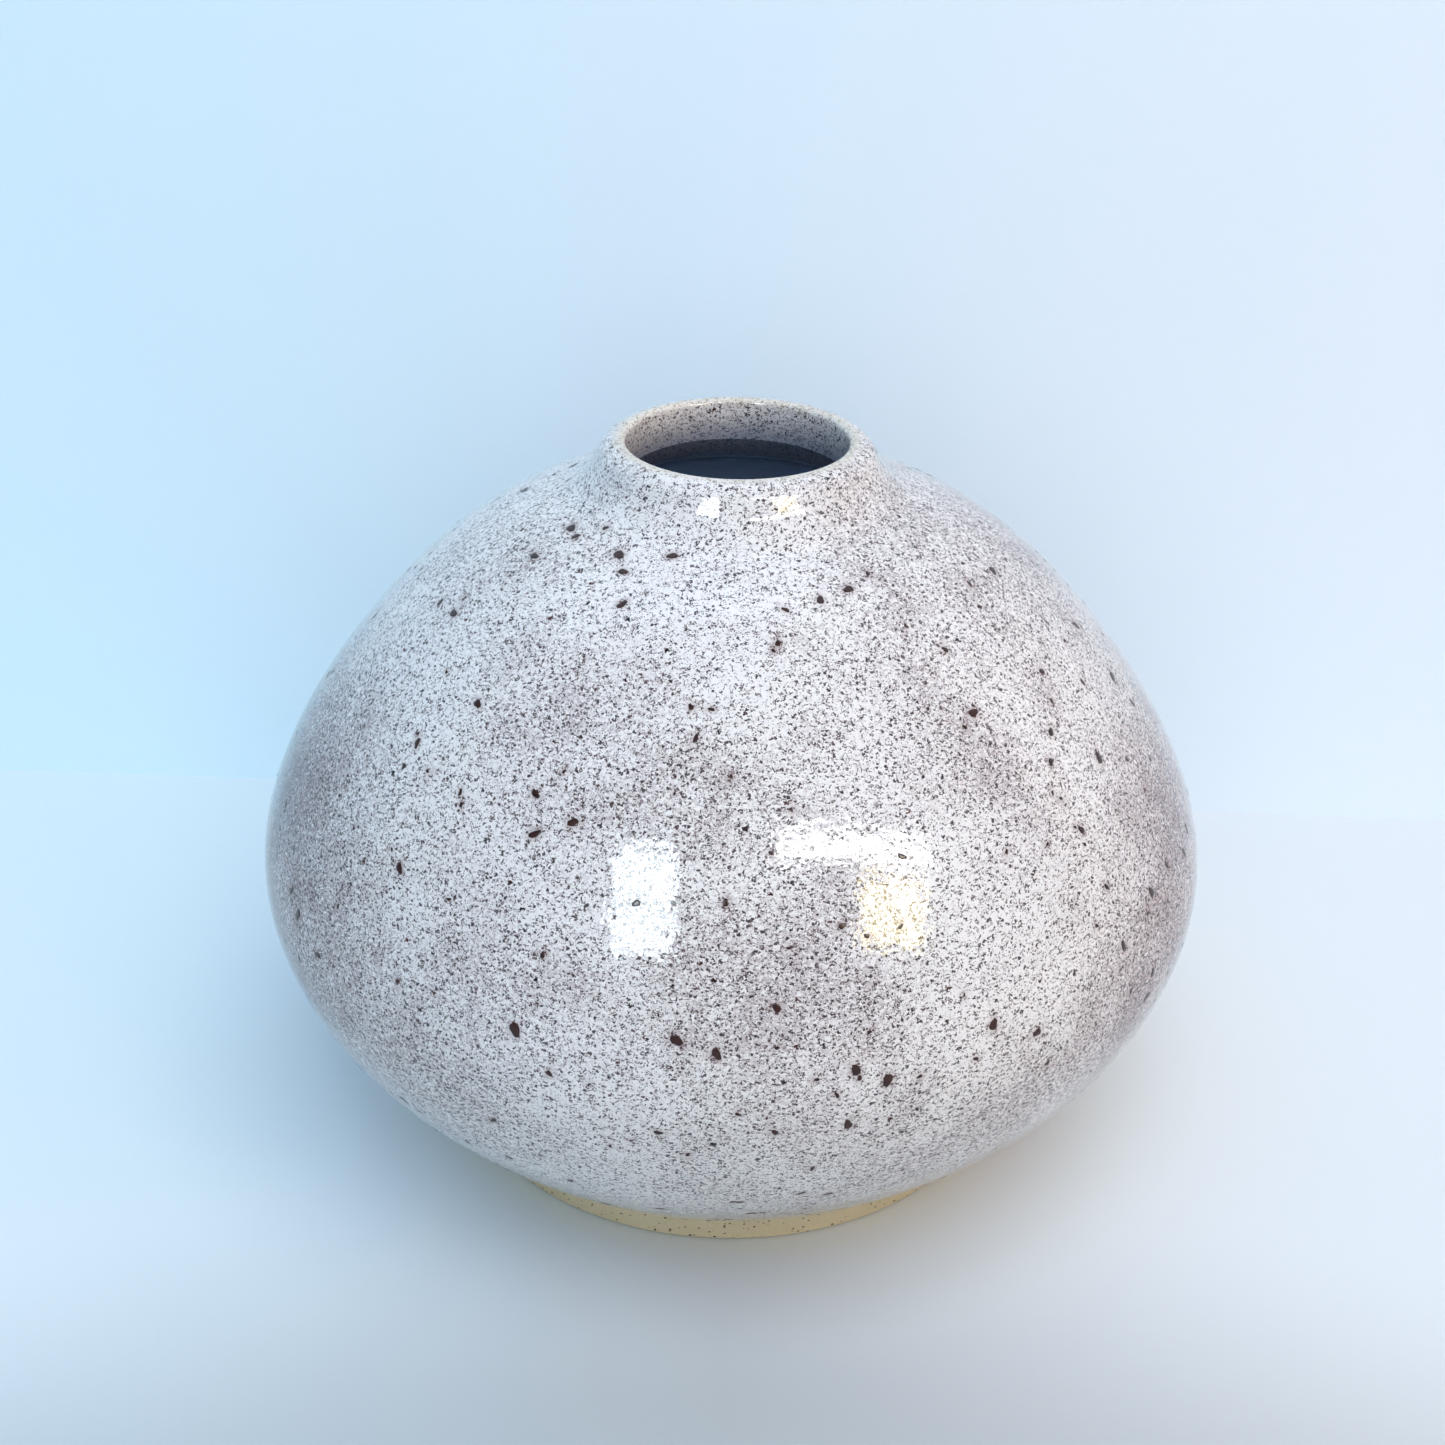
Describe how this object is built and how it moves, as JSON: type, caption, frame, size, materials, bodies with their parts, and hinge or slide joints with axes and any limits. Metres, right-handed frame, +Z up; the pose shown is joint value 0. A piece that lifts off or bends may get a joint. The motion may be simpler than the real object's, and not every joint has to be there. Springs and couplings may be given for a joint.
{
  "type": "bud vase",
  "caption": "Squat round bud vase with a short collar and narrow mouth, speckled glaze over stoneware with a bare foot ring.",
  "frame": {"origin": "centre of the foot ring's underside, on the surface that the vase stands on", "axes": "+Z up along the wheel axis; X and Y are free, because the vase is round"},
  "size_m": [0.13, 0.13, 0.1008],
  "materials": {
    "bare_clay": "unglazed buff stoneware, fine grain with small dark specks",
    "speckled_glaze": "gloss off-white with dense fine dark specks and scattered larger iron spots",
    "liner_glaze": "gloss off-white with dense fine dark specks"
  },
  "bodies": {
    "root": {"clay_body": "bare_clay", "outer_glaze": "speckled_glaze", "liner_glaze": "liner_glaze"}
  },
  "joints": []
}
